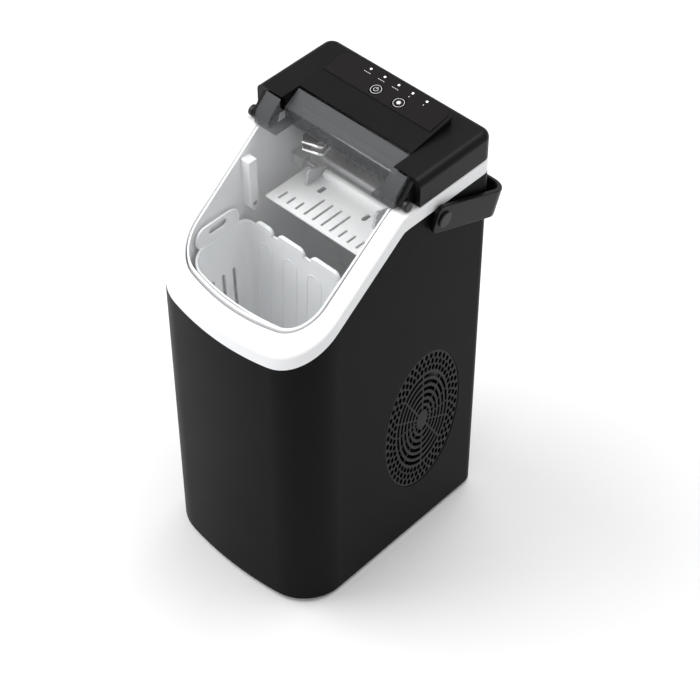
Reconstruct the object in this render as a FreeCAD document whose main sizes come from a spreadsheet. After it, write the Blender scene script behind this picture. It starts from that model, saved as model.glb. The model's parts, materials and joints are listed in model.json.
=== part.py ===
"""Countertop ice maker as a FreeCAD document: every bench-separable piece is its own labelled object.

Frame: +Z up, front of the machine towards -Y, right-hand side +X, origin on the resting surface
under the middle of the casing. Lengths in millimetres, angles in degrees.
"""
import FreeCAD, Part
import Sketcher
import math
import os

V = FreeCAD.Vector
doc = FreeCAD.newDocument("ice_maker")

# ---------------------------------------------------------------- driving dimensions

DIMENSIONS = {
    # casing
    "half_width": 102.5,
    "half_depth": 130.0,
    "bow_radius": 380.0,
    "front_radius": 49.0,
    "rear_radius": 12.0,
    "wall": 2.5,
    "shell_bottom": 4.0,
    "deck": 454.0,
    "rim_band": 16.0,
    "rim_low": "=deck - rim_band",
    "rim_kink": 10.0,
    "rim_slope": 37.0,
    # mouth and bin
    "mouth_half": 84.0,
    "mouth_front": 112.0,
    "mouth_rear": 109.0,
    "mouth_bow": 280.0,
    "mouth_radius": 36.0,
    "floor_half": 79.0,
    "floor_front": 108.0,
    "bin_floor": "=deck - 235",
    "liner_wall": 2.0,
    # cover
    "cover_top": "=deck + 30",
    "cover_front": 30.0,
    "wedge_half": 70.0,
    "wedge_front": 53.0,
    "wedge_rear": 114.0,
    "wedge_low": "=cover_top + 1",
    "wedge_high": "=cover_top + 10",
    # lid hinge
    "hinge_depth": 19.0,
    "hinge_height": "=deck + 6",
    "hinge_pin": 3.0,
    "strip_sweep": 40.7,
    "hood_sweep": 25.1,
    # carry handle
    "handle_pivot_depth": 56.0,
    "handle_pivot_height": "=deck - 26",
    "handle_reach": 91.5,
    "handle_droop": 22.0,
    "strap_height": 28.0,
    "strap_thickness": 5.0,
    # ice works
    "tray_depth": 84.0,
    "tray_height": "=deck - 50",
    "tray_inner": 20.0,
    "tray_outer": 22.0,
    "tray_half": 54.0,
    "rod_depth": 56.0,
    "rod_height": "=tray_height - 11",
    "rod_radius": 2.4,
    "pusher_half": 61.5,
    "pusher_front": -3.0,
    "basket_half": 77.0,
    "basket_top": "=deck - 93",
    "basket_bottom": "=bin_floor + 12",
    # machine compartment
    "fan_depth": 44.0,
    "fan_height": 162.0,
    "fan_radius": 42.0,
    "vent_half_depth": 54.0,
    "vent_half_height": 92.0,
    # fits
    "running": 0.05,
    "gap": 0.3,
}

# ---------------------------------------------------------------- places and counts

# casing and machine compartment
REAR_SCREW_X = 87.5
REAR_SCREW_HEIGHTS = (40.0, 219.0, 398.0)
GLAND = (-50.0, 44.0)
DRAIN = (15.0, 30.0)
FOOT_PLACES = [(-78.0, -80.0), (78.0, -80.0), (-78.0, 108.0), (78.0, 108.0)]
COMPRESSOR_LEGS = [(-44.0, 20.0), (-92.0, 102.0), (4.0, 102.0)]
HOSE_X = 91.0
PUMP = (40.0, -40.0)
BLADE_COUNT = 7

# side vent
RIB_COUNT = 12
RING_RADII = (8.0, 13.2, 18.4, 23.6, 28.8, 34.0)
HEX_ROWS = (41.0, 45.8, 50.4)
HEX_COUNT = 46

# bin and basket
INLET_DEPTH = 98.0
EYE_DEPTH = -30.0
SIDE_SLOTS = (-65.6, -51.6, -37.6)
FRONT_SLOTS = (-44.0, -22.0, 0.0, 22.0, 44.0)
REAR_TABS = ((-60.0, 22.0), (-31.0, 34.0), (12.0, 36.0))

# controls
BUTTON_SEAT = 7.0
BUTTON_X = (-8.5, 19.7)
BUTTON_ALONG = 38.5
LED_X = tuple(-30.0 + 17.35 * i for i in range(5))
LED_ALONG = 55.3

# lid and its hinge
EAR_INNER = 88.0
EAR_OUTER = 94.0
ARM_FRONT = 11.0
BAR_INNER = 60.0
STRIP_FRONT = 33.0
STRIP_REAR = 51.6


sheet = doc.addObject("Spreadsheet::Sheet", "Sizes")
for row, (alias, number) in enumerate(DIMENSIONS.items(), start=1):
    sheet.set(f"A{row}", alias)
    sheet.set(f"B{row}", str(number))
    sheet.setAlias(f"B{row}", alias)
doc.recompute()


class Size:
    """A number together with the spreadsheet expression that gives it."""

    def __init__(self, value, text):
        self.value = float(value)
        self.text = text

    def _with(self, other, sign, result):
        return Size(result, f"({self.text} {sign} {of(other).text})")

    def __add__(self, other):
        return self._with(other, "+", self.value + of(other).value)

    def __sub__(self, other):
        return self._with(other, "-", self.value - of(other).value)

    def __mul__(self, other):
        return self._with(other, "*", self.value * of(other).value)

    def __truediv__(self, other):
        return self._with(other, "/", self.value / of(other).value)

    def __radd__(self, other):
        return of(other) + self

    def __rsub__(self, other):
        return of(other) - self

    def __rmul__(self, other):
        return of(other) * self

    def __neg__(self):
        return Size(-self.value, f"(-1 * {self.text})")


def of(number):
    """Any plain number as a Size."""
    if isinstance(number, Size):
        return number
    return Size(number, repr(float(number)))


def dim(alias):
    """A driving dimension, read from the sheet."""
    return Size(sheet.get(alias), f"Sizes.{alias}")


def deck(offset):
    """Height measured from the level part of the rim's top."""
    return dim("deck") + offset


def slope_rise(length):
    """Height that the sloping rim loses over a horizontal length."""
    angle = dim("rim_slope")
    return Size(math.tan(math.radians(angle.value)) * length.value,
                f"(tan({angle.text} * 1 deg) * {length.text})")


def bind(thing, prop, size):
    """Give one property of an object a size: an expression where it comes from the sheet."""
    if isinstance(size, Size):
        thing.setExpression(prop, size.text)
    else:
        setattr(thing, prop, size)


def place(thing, x=0.0, y=0.0, z=0.0, axis=(0, 0, 1), angle=0.0):
    """Put an object at a point that may come from the sheet, turned about one axis."""
    spin = FreeCAD.Rotation(V(*axis), angle)
    thing.Placement = FreeCAD.Placement(V(of(x).value, of(y).value, of(z).value), spin)
    for letter, size in zip("xyz", (x, y, z)):
        if isinstance(size, Size):
            thing.setExpression(f"Placement.Base.{letter}", size.text)
    return thing


# ---------------------------------------------------------------- solids from Part primitives

TOWARDS = {"X": ((0, 1, 0), 90.0), "Y": ((1, 0, 0), -90.0), "Z": ((0, 0, 1), 0.0)}


def box(label, x, y, z, length, width, height):
    """Box with its lowest corner at x, y, z."""
    thing = doc.addObject("Part::Box", label)
    bind(thing, "Length", length)
    bind(thing, "Width", width)
    bind(thing, "Height", height)
    return place(thing, x, y, z)


def rod(label, radius, height, x, y, z, towards="Z"):
    """Cylinder from x, y, z towards +X, +Y or +Z."""
    thing = doc.addObject("Part::Cylinder", label)
    bind(thing, "Radius", radius)
    bind(thing, "Height", height)
    axis, angle = TOWARDS[towards]
    return place(thing, x, y, z, axis, angle)


def fuse(label, things):
    thing = doc.addObject("Part::MultiFuse", label)
    thing.Shapes = things
    thing.Refine = True
    return thing


def cut(label, base, tools):
    """Base less one or more tools."""
    tool = tools[0] if len(tools) == 1 else fuse(label + "_tools", tools)
    thing = doc.addObject("Part::Cut", label)
    thing.Base = base
    thing.Tool = tool
    thing.Refine = True
    return thing


def common(label, first, second):
    thing = doc.addObject("Part::MultiCommon", label)
    thing.Shapes = [first, second]
    thing.Refine = True
    return thing


def group(label, things):
    """Several separate solids kept in one node."""
    thing = doc.addObject("Part::Compound", label)
    thing.Links = things
    return thing


def rounded(label, base, chooses, radius):
    """Fillet the edges of base that the test picks."""
    doc.recompute()
    thing = doc.addObject("Part::Fillet", label)
    thing.Base = base
    picked = [i for i, e in enumerate(base.Shape.Edges, start=1) if chooses(e)]
    thing.Edges = [(i, radius, radius) for i in picked]
    return thing


def computed(label, shape, x=0.0, y=0.0, z=0.0):
    """A shape made with Part's own functions."""
    thing = doc.addObject("Part::Feature", label)
    thing.Shape = shape
    return place(thing, x, y, z)


# ---------------------------------------------------------------- sketches

def fix(sketch, kind, *rest):
    """Add one constraint, bound to the sheet when its last value is a Size."""
    if isinstance(rest[-1], Size):
        index = sketch.addConstraint(Sketcher.Constraint(kind, *rest[:-1], rest[-1].value))
        sketch.setExpression(f"Constraints[{index}]", rest[-1].text)
    else:
        sketch.addConstraint(Sketcher.Constraint(kind, *rest))


def free_sketch(name, z=0.0):
    """Sketch in the XY plane at a height."""
    return place(doc.addObject("Sketcher::SketchObject", name), 0.0, 0.0, z)


def side_sketch(name):
    """Sketch in the YZ plane: its x runs along +Y and its y along +Z."""
    sketch = doc.addObject("Sketcher::SketchObject", name)
    sketch.Placement = FreeCAD.Placement(V(), FreeCAD.Rotation(V(1, 1, 1), 120))
    return sketch


def outline(sketch, half, front, rear, bow, corner, back):
    """Plan outline: straight sides and back, bowed front, large front and small rear corners."""
    w, f, r, b, c, k = (of(s).value for s in (half, front, rear, bow, corner, back))
    middle = b - f
    reach = middle - math.sqrt((b - c) ** 2 - (w - c) ** 2)
    lean = math.asin((w - c) / (b - c))
    down = -math.pi / 2
    arc = Part.ArcOfCircle

    def circle(x, y, radius):
        return Part.Circle(V(x, y, 0), V(0, 0, 1), radius)

    sketch.addGeometry([
        Part.LineSegment(V(w - k, r, 0), V(-w + k, r, 0)),
        arc(circle(-w + k, r - k, k), math.pi / 2, math.pi),
        Part.LineSegment(V(-w, r - k, 0), V(-w, reach, 0)),
        arc(circle(-w + c, reach, c), math.pi, 2 * math.pi + down - lean),
        arc(circle(0, middle, b), down - lean, down + lean),
        arc(circle(w - c, reach, c), down + lean, 0),
        Part.LineSegment(V(w, reach, 0), V(w, r - k, 0)),
        arc(circle(w - k, r - k, k), 0, math.pi / 2),
    ], False)
    joins = [(0, 2, 1, 1), (1, 2, 2, 1), (2, 2, 3, 1), (3, 2, 4, 1), (4, 2, 5, 1), (5, 2, 6, 1),
             (6, 2, 7, 1), (7, 2, 0, 1)]
    for one, end, other, start in joins:
        fix(sketch, "Tangent", one, end, other, start)
    fix(sketch, "Vertical", 6)
    fix(sketch, "PointOnObject", 4, 3, -2)
    fix(sketch, "DistanceX", -1, 1, 6, 1, of(half))
    fix(sketch, "DistanceX", 2, 1, -1, 1, of(half))
    fix(sketch, "DistanceY", -1, 1, 0, 1, of(rear))
    fix(sketch, "DistanceY", -1, 1, 4, 3, of(bow) - front)
    fix(sketch, "Radius", 4, of(bow))
    fix(sketch, "Radius", 3, of(corner))
    fix(sketch, "Radius", 5, of(corner))
    fix(sketch, "Radius", 1, of(back))
    fix(sketch, "Radius", 7, of(back))
    return sketch


def pin(sketch, index, end, x, y):
    """Fix one point of a sketch element at x, y from the origin."""
    for kind, size in (("DistanceX", of(x)), ("DistanceY", of(y))):
        if size.value < 0:
            fix(sketch, kind, index, end, -1, 1, -size)
        else:
            fix(sketch, kind, -1, 1, index, end, size)


def polygon(sketch, points):
    """Closed polygon through points whose coordinates may come from the sheet."""
    flat = [V(of(x).value, of(y).value, 0) for x, y in points]
    count = len(flat)
    first = sketch.GeometryCount
    sketch.addGeometry([Part.LineSegment(flat[i], flat[(i + 1) % count]) for i in range(count)], False)
    for i in range(count):
        fix(sketch, "Coincident", first + i, 2, first + (i + 1) % count, 1)
    for i, (x, y) in enumerate(points):
        pin(sketch, first + i, 1, x, y)
    return sketch


def raised(label, sketch, height):
    """Solid over a sketch, along the sketch's normal."""
    thing = doc.addObject("Part::Extrusion", label)
    thing.Base = sketch
    thing.DirMode = "Normal"
    thing.Solid = True
    bind(thing, "LengthFwd", height)
    return thing


def slab(label, points, half):
    """YZ polygon made a solid from -half to +half in X."""
    thing = raised(label, polygon(side_sketch(label + "_side"), points), half)
    bind(thing, "LengthRev", half)
    return thing


def casing_block(label, inset, low, high):
    """Solid with the casing's plan outline, inset all round."""
    sketch = free_sketch(label + "_plan", low)
    outline(sketch, dim("half_width") - inset, dim("half_depth") - inset, dim("half_depth") - inset,
            dim("bow_radius") - inset, dim("front_radius") - inset, dim("rear_radius") - inset)
    return raised(label, sketch, of(high) - low)


def mouth_sketch(name, inset, height):
    """Plan of the bin's mouth, inset all round."""
    return outline(free_sketch(name, height), dim("mouth_half") - inset, dim("mouth_front") - inset,
                   dim("mouth_rear") - inset, dim("mouth_bow") - inset, dim("mouth_radius") - inset, 12.0)


def under_rim(label, drop, low, half=140.0):
    """Everything below the rim's sloping top, lowered by drop."""
    front = -150.0
    top = dim("rim_low") + dim("rim_band") - drop
    fall = slope_rise(dim("rim_kink") - front)
    return slab(label, [(front, low), (150.0, low), (150.0, top), (dim("rim_kink"), top),
                        (front, top - fall)], half)


# ---------------------------------------------------------------- PartDesign helpers

PLANES = {"XY": "XY_Plane", "XZ": "XZ_Plane", "YZ": "YZ_Plane"}


def new_body(label, x=0.0, y=0.0, z=0.0, axis=(0, 0, 1), angle=0.0):
    thing = doc.addObject("PartDesign::Body", label)
    return place(thing, x, y, z, axis, angle)


def body_sketch(body, name, plane, offset=0.0):
    """Sketch on one of the body's own origin planes, moved along its normal."""
    sketch = body.newObject("Sketcher::SketchObject", name)
    role = PLANES[plane]
    sketch.AttachmentSupport = [(next(f for f in body.Origin.OriginFeatures if f.Role == role), "")]
    sketch.MapMode = "FlatFace"
    sketch.AttachmentOffset = FreeCAD.Placement(V(0, 0, of(offset).value), FreeCAD.Rotation())
    if isinstance(offset, Size):
        sketch.setExpression("AttachmentOffset.Base.z", offset.text)
    return sketch


def rectangle(sketch, left, right, low, high):
    return polygon(sketch, [(left, low), (right, low), (right, high), (left, high)])


def ring(sketch, x, y, *radii):
    """Concentric circles about a point."""
    for radius in radii:
        size = of(radius)
        index = sketch.addGeometry(Part.Circle(V(of(x).value, of(y).value, 0), V(0, 0, 1), size.value), False)
        pin(sketch, index, 3, x, y)
        fix(sketch, "Radius", index, size)
    return sketch


def stadium(sketch, x, y, half_length, radius, upright=True):
    """Slot with round ends, centred on a point; its straight part is twice half_length long."""
    lean = math.pi / 2 if upright else 0.0
    along = V(math.cos(lean), math.sin(lean), 0) * half_length
    across = V(-math.sin(lean), math.cos(lean), 0) * radius
    centre = V(x, y, 0)

    def end(middle, begin):
        return Part.ArcOfCircle(Part.Circle(middle, V(0, 0, 1), radius), begin, begin + math.pi)

    first = sketch.GeometryCount
    sketch.addGeometry([
        end(centre + along, lean - math.pi / 2),
        end(centre - along, lean + math.pi / 2),
        Part.LineSegment(centre + along + across, centre - along + across),
        Part.LineSegment(centre - along - across, centre + along - across),
    ], False)
    for one, end_one, other, end_other in ((0, 2, 2, 1), (2, 2, 1, 1), (1, 2, 3, 1), (3, 2, 0, 1)):
        fix(sketch, "Coincident", first + one, end_one, first + other, end_other)
    return sketch


def pad(body, sketch, length, back=False, both=False):
    feature = body.newObject("PartDesign::Pad", sketch.Name + "_pad")
    feature.Profile = sketch
    bind(feature, "Length", length)
    feature.Midplane = both
    feature.Reversed = back
    return feature


def pocket(body, sketch, depth=None, back=False, both=False):
    """Cut away from the solid, through everything where no depth is given."""
    doc.recompute()
    before = body.Shape.Volume
    feature = body.newObject("PartDesign::Pocket", sketch.Name + "_pocket")
    feature.Profile = sketch
    if depth is None:
        feature.Type = 1
    else:
        bind(feature, "Length", depth)
    feature.Midplane = both
    feature.Reversed = back
    doc.recompute()
    if body.Shape.Volume > before - 0.01:
        raise SystemExit(f"{sketch.Name} cuts nothing")
    return feature


def soften(body, edges, radius):
    """Fillet named edges of the body's present shape."""
    base = body.Tip
    feature = body.newObject("PartDesign::Fillet", base.Name + "_soft")
    feature.Base = (base, edges)
    feature.Radius = radius
    return feature


def column_of(body, feature, step, count):
    """Linear pattern of a feature along its sketch's vertical axis."""
    pattern = body.newObject("PartDesign::LinearPattern", feature.Name + "_column")
    pattern.Originals = [feature]
    pattern.Direction = (feature.Profile[0], ["V_Axis"])
    pattern.Length = step * (count - 1)
    pattern.Occurrences = count
    body.Tip = pattern
    return pattern


def turned(label, profile, x=0.0, y=0.0, z=0.0, axis=(0, 0, 1), angle=0.0):
    """Body of revolution about its own Z from radius and height pairs."""
    body = new_body(label, x, y, z, axis, angle)
    sketch = polygon(body_sketch(body, label + "_profile", "XZ"), profile)
    feature = body.newObject("PartDesign::Revolution", label + "_turn")
    feature.Profile = sketch
    feature.ReferenceAxis = (sketch, ["V_Axis"])
    feature.Angle = 360.0
    body.Tip = feature
    return body


NODES = []


def node(thing, label):
    """Name an object as one of the machine's pieces."""
    thing.Label = label
    NODES.append(thing)
    return thing


# ---------------------------------------------------------------- casing

def outer_shell():
    """Bowed black casing with its vent, intake, rear window and screw holes."""
    wall = dim("wall")
    block = casing_block("shell_block", 0.0, dim("shell_bottom"), dim("rim_low"))
    block = rounded("shell_soft", block, lambda e: e.BoundBox.ZMax < dim("shell_bottom").value + 0.1, 2.0)
    core = casing_block("shell_core", wall, 0.0, deck(50.0))
    rim = under_rim("shell_under_rim", dim("rim_band"), 0.0)
    vent = side_sketch("vent_outline")
    vent.addGeometry(Part.Ellipse(V(dim("fan_depth").value,
                                    dim("fan_height").value + dim("vent_half_height").value, 0),
                                  V(dim("fan_depth").value + dim("vent_half_depth").value,
                                    dim("fan_height").value, 0),
                                  V(dim("fan_depth").value, dim("fan_height").value, 0)), False)
    tools = [core, raised("vent_hole", vent, 150.0)]
    tools.append(box("intake_window", -120.0, 18.0, 76.0, 40.0, 84.0, 84.0))
    tools.append(box("rear_window", -84.0, 100.0, 18.0, 168.0, 60.0, 402.0))
    for side in (-1, 1):
        for height in REAR_SCREW_HEIGHTS:
            tools.append(rod("rear_screw_hole", 1.75, 40.0, side * REAR_SCREW_X, 110.0, height, "Y"))
        tools.append(rod("pivot_hole", 4.0, 12.0, side * 102.0 - 6.0, dim("handle_pivot_depth"),
                         dim("handle_pivot_height"), "X"))
    node(cut("shell_cut", common("shell_trimmed", block, rim), tools), "outer_shell")


def rear_panel():
    """Back plate: a flange behind the casing and a raised centre that fills the rear window."""
    body = new_body("rear_panel")
    flange = body_sketch(body, "rear_flange", "XZ", -124.9)
    pad(body, rectangle(flange, -92.0, 92.0, 11.0, 427.0), 2.4, back=True)
    centre = body_sketch(body, "rear_centre", "XZ", -127.3)
    pad(body, rectangle(centre, -83.7, 83.7, 18.3, 419.7), 2.2, back=True)
    slots = body_sketch(body, "rear_slots", "XZ", -120.0)
    for column in range(7):
        stadium(slots, -66.0 + 22.0 * column, 140.0, 7.5, 2.0, upright=False)
    first = pocket(body, slots, both=True)
    column_of(body, first, 9.0, 8)
    holes = body_sketch(body, "rear_holes", "XZ", -120.0)
    for side in (-1, 1):
        for height in REAR_SCREW_HEIGHTS:
            ring(holes, side * REAR_SCREW_X, height, 1.75)
    ring(holes, GLAND[0], GLAND[1], 8.0)
    ring(holes, DRAIN[0], DRAIN[1], 6.05)
    pocket(body, holes, both=True)
    node(body, "rear_panel")


def base_pan():
    """Steel floor of the machine, inside the casing, on which everything below the bin stands."""
    pan = casing_block("pan_block", dim("wall") + 0.3, 5.0, 7.0)
    holes = [rod("foot_hole", 2.05, 20.0, x, y, -5.0) for x, y in FOOT_PLACES]
    node(cut("pan", pan, holes), "base_pan")


def feet():
    """Four rubber feet, each with a stud pressed through the floor."""
    names = ("front_left", "front_right", "rear_left", "rear_right")
    profile = [(0.0, 0.0), (9.0, 0.0), (11.0, 2.0), (11.0, 5.0), (2.0, 5.0), (2.0, 7.0), (4.0, 7.0),
               (3.0, 9.5), (0.0, 9.5)]
    for name, (x, y) in zip(names, FOOT_PLACES):
        node(turned("foot_" + name, profile, x, y), "foot_" + name)


def vent_fill(label, inner_x, thickness, inset):
    """Round-ended disc that fills the side vent, in its own thickness."""
    a = dim("vent_half_depth").value - inset
    b = dim("vent_half_height").value - inset
    edge = Part.Ellipse(V(0, b, 0), V(a, 0, 0), V(0, 0, 0)).toShape()
    face = Part.Face(Part.Wire([edge]))
    face.Placement = FreeCAD.Placement(V(inner_x, dim("fan_depth").value, dim("fan_height").value),
                                       FreeCAD.Rotation(V(1, 1, 1), 120))
    return face.extrude(V(thickness, 0, 0))


def vent_grille():
    """Side vent: rim, concentric bars cut by ribs, and an outer band of hexagon holes."""
    thickness = 2.4
    inner_x = dim("half_width").value - dim("wall").value - 0.5
    squash = dim("vent_half_height").value / dim("vent_half_depth").value
    middle = V(inner_x, dim("fan_depth").value, dim("fan_height").value)
    plate = vent_fill("grille", inner_x, thickness, 0.15)

    def oval_ring(outer, inner):
        def disc(radius):
            shape = Part.Face(Part.Wire([Part.Ellipse(V(0, radius * squash, 0), V(radius, 0, 0),
                                                      V()).toShape()]))
            shape.Placement = FreeCAD.Placement(middle - V(2, 0, 0), FreeCAD.Rotation(V(1, 1, 1), 120))
            return shape.extrude(V(8, 0, 0))
        return disc(outer).cut(disc(inner))

    ribs = []
    for turn in range(RIB_COUNT):
        rib = Part.makeBox(8, 2.0, 200, V(-2, -1.0, 0))
        rib.rotate(V(), V(1, 0, 0), 360.0 * turn / RIB_COUNT)
        rib.translate(middle)
        ribs.append(rib)
    slots = [oval_ring(radius + 2.6, radius) for radius in RING_RADII]
    gaps = slots[0].multiFuse(slots[1:]).cut(ribs[0].multiFuse(ribs[1:]))
    cells = []
    for row, radius in enumerate(HEX_ROWS):
        for turn in range(HEX_COUNT):
            angle = 2 * math.pi * (turn + 0.5 * row) / HEX_COUNT
            size = 2.3
            corners = [V(0, size * math.cos(k * math.pi / 3), size * squash * math.sin(k * math.pi / 3))
                       for k in range(7)]
            cell = Part.Face(Part.makePolygon(corners)).extrude(V(8, 0, 0))
            cell.translate(middle + V(-2, radius * math.cos(angle), radius * squash * math.sin(angle)))
            cells.append(cell)
    shape = plate.cut([gaps] + cells)
    node(computed("side_vent_grille", shape), "side_vent_grille")


def intake_grille():
    """Louvred intake on the left side."""
    frame = box("intake_plate", -102.2, 18.3, 76.3, 2.4, 83.4, 83.4)
    slots = [box("intake_slot", -110.0, 24.0, 83.0 + 7.0 * i, 20.0, 72.0, 3.4) for i in range(11)]
    node(cut("intake_cut", frame, slots), "left_intake_grille")


def rim_layer(label, thickness):
    """Everything within a thickness below the rim's sloping top."""
    return cut(label, under_rim(label + "_over", 0.0, 150.0),
               [under_rim(label + "_under", thickness, 149.0, 150.0)])


def rim_frame():
    """White rim: a thin sloping deck, an outer band and a lip round the mouth."""
    full = casing_block("rim_block", 0.0, 150.0, deck(0.5))
    plate = common("rim_deck", full, rim_layer("rim_skin", 3.0))
    hollow = casing_block("rim_hollow", dim("wall"), 100.0, deck(50.0))
    band_block = common("rim_band_block", full, rim_layer("rim_deep", dim("rim_band") - 0.2))
    band = cut("rim_band_ring", band_block, [hollow])
    lip_block = raised("rim_lip_block", mouth_sketch("lip_plan", -2.5, 150.0), 350.0)
    lip = common("rim_lip", lip_block, rim_layer("rim_shallow", 9.0))
    mouth = raised("rim_mouth", mouth_sketch("rim_mouth_plan", 0.0, 100.0), 400.0)
    node(cut("rim_open", fuse("rim_whole", [plate, band, lip]), [mouth]), "rim_frame")


def bin_taper(label, inset):
    """Tapered block with the bin's inside or outside shape."""
    low = outline(free_sketch(label + "_low", dim("bin_floor") + inset), dim("floor_half") - inset,
                  dim("floor_front") - inset, dim("mouth_rear") - 0.4 - inset, dim("mouth_bow") - inset,
                  dim("mouth_radius") - 8.0 - inset, 12.0)
    high = mouth_sketch(label + "_high", 0.4 + inset, dim("deck"))
    loft = doc.addObject("Part::Loft", label)
    loft.Sections = [low, high]
    loft.Solid = True
    loft.Ruled = True
    return loft


def bin_liner():
    """White bin: tapered walls and a floor, with holes for the tray shaft, water inlet and drain."""
    hollow = cut("liner_walls", bin_taper("liner_outside", 0.0),
                 [bin_taper("liner_inside", dim("liner_wall").value)])
    open_top = common("liner_open", hollow, under_rim("liner_trim", 0.8, 100.0))
    holes = [
        rod("shaft_hole", 4.4, 30.0, -90.0, dim("tray_depth"), dim("tray_height"), "X"),
        rod("inlet_hole", 3.2, 30.0, 70.0, INLET_DEPTH, deck(-21.0), "X"),
        rod("drain_hole", 4.0, 12.0, DRAIN[0], 96.0, dim("bin_floor") - 6.0),
        rod("eye_hole_left", 3.05, 20.0, -84.0, EYE_DEPTH, deck(-84.0), "X"),
        rod("eye_hole_right", 3.05, 20.0, 64.0, EYE_DEPTH, deck(-84.0), "X"),
        rod("pump_hole", 4.0, 12.0, PUMP[0], PUMP[1], dim("bin_floor") - 6.0),
    ]
    ribs = [box("basket_rib", x, -70.0, dim("bin_floor") + 1.9, 3.0, 44.0, 9.8) for x in (-38.0, 35.0)]
    node(cut("liner_cut", fuse("liner_ribbed", [open_top] + ribs), holes), "bin_liner")


def insulation():
    """Foam jacket between the bin and the casing, with a channel for the pump hose."""
    block = casing_block("foam_block", dim("wall") + 1.5, dim("bin_floor") + 40.0, dim("bin_floor") + 124.0)
    bin_space = bin_taper("foam_bin", -1.0)
    channel = rod("foam_channel", 5.5, 200.0, HOSE_X, PUMP[1], dim("bin_floor") - 24.0)
    panel = box("foam_panel_space", -93.0, 123.5, 100.0, 186.0, 30.0, 400.0)
    node(cut("foam_cut", block, [bin_space, channel, panel]), "insulation")


# ---------------------------------------------------------------- top cover and controls

def swept_space(label, radius, left, width):
    """Room that the lid's hinge end needs behind its axis as it swings."""
    return rod(label, radius, width, left, dim("hinge_depth"), dim("hinge_height"), "X")


def hinge_ears(bottom):
    """Two triangular ears with round noses, one beside each shoulder, that carry the lid's pins."""
    deep, height, front = dim("hinge_depth"), dim("hinge_height"), dim("cover_front")
    arms = slab("ear_arms", [(deep - 3.7, height + 2.9), (front + 1.0, dim("cover_top") - 4.0),
                             (front + 1.0, bottom),
                             (deep, bottom + 1.0)], EAR_OUTER)
    middle = box("ear_middle", -EAR_INNER, -20.0, deck(-52.0), EAR_INNER * 2, 140.0, 140.0)
    ears = [cut("ear_pair", arms, [middle])]
    for left in (-EAR_OUTER, EAR_INNER):
        ears.append(rod("ear_nose", 4.7, EAR_OUTER - EAR_INNER, left, deep, height, "X"))
    return ears


def wedge_block():
    """Control wedge: it rises from the cover's top towards the rear, with round rear corners."""
    front, back, base = dim("wedge_front"), dim("wedge_rear"), deck(6.3)
    wedge = slab("wedge", [(front, base), (back, base), (back, dim("wedge_high")), (front, dim("wedge_low"))],
                 dim("wedge_half"))
    return rounded("wedge_soft", wedge, lambda e: e.BoundBox.ZLength > 15 and e.BoundBox.YMin > 100, 11.0)


def cover_hollows():
    """Room for the control board under the wedge and for air in the shoulders."""
    skin, under = 2.5, deck(-52.0)
    top = dim("cover_top") - skin
    start = dim("hinge_depth") + dim("strip_sweep") + skin
    back = dim("wedge_rear") - 2 * skin
    inside = slab("wedge_inside", [(start, under), (back, under), (back, dim("wedge_high") - 2 * skin),
                                   (start, dim("wedge_low") - skin)], dim("wedge_half") - 2 * skin)
    core = common("cover_core", casing_block("cover_core_block", 0.4 + skin, under, top),
                  box("cover_core_half", -120.0, start, under, 240.0, 140.0, 120.0))
    behind = dim("hinge_depth") + dim("hood_sweep") + skin
    shoulders = [box("shoulder_core", x, behind, under, 25.0, 30.0, of(top) - under) for x in (-98.0, 73.0)]
    return [inside, core] + shoulders


def top_cover():
    """Black rear cover with two shoulders, a raised control wedge and ears for the lid's pins."""
    bottom = deck(0.3)
    under = deck(-52.0)
    full = casing_block("cover_block", 0.4, bottom, dim("cover_top"))
    rear = box("cover_rear_half", -120.0, dim("cover_front"), under, 240.0, 140.0, 120.0)
    edge_height = dim("cover_top").value - 0.1
    edge_front = dim("cover_front").value + 1.0
    soft = rounded("cover_soft", common("cover_body", full, rear),
                   lambda e: e.BoundBox.ZMin > edge_height and e.BoundBox.YMax > edge_front, 8.0)
    half = dim("wedge_half")
    notch = box("cover_notch", -half, 0.0, under, half * 2, dim("wedge_front"), 120.0)
    room = EAR_INNER - half.value + 1.0
    sweeps = [swept_space("strip_space", dim("strip_sweep"), -half, half * 2)]
    sweeps += [swept_space("hood_space", dim("hood_sweep"), left,
                           room) for left in (-EAR_INNER, EAR_INNER - room)]
    blocks = cut("cover_swept", fuse("cover_blocks", [cut("cover_notched", soft, [notch]), wedge_block()]),
                 sweeps)
    whole = fuse("cover_whole", [blocks] + hinge_ears(bottom))
    holes = [rod("ear_hole", dim("hinge_pin") + 0.02, 20.0, left, dim("hinge_depth"), dim("hinge_height"),
                 "X")
             for left in (-EAR_OUTER - 7.0, EAR_INNER - 7.0)]
    press = [control_hole("button_seat", x, BUTTON_ALONG, BUTTON_SEAT) for x in BUTTON_X]
    node(cut("cover_cut", whole, cover_hollows() + holes + press), "top_cover")


def wedge_angle():
    rise = dim("wedge_high").value - dim("wedge_low").value
    return math.degrees(math.atan2(rise, dim("wedge_rear").value - dim("wedge_front").value))


def on_wedge(thing, x, along, out):
    """Place an object on the control wedge: across it, up along it and out of it."""
    angle = math.radians(wedge_angle())
    y = dim("wedge_front").value + along * math.cos(angle) - out * math.sin(angle)
    z = dim("wedge_low").value + along * math.sin(angle) + out * math.cos(angle)
    return place(thing, x, y, z, (1, 0, 0), wedge_angle())


def control_hole(label, x, along, radius):
    tool = doc.addObject("Part::Cylinder", label)
    tool.Radius = radius
    tool.Height = 12.0
    return on_wedge(tool, x, along, -6.0)


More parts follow.
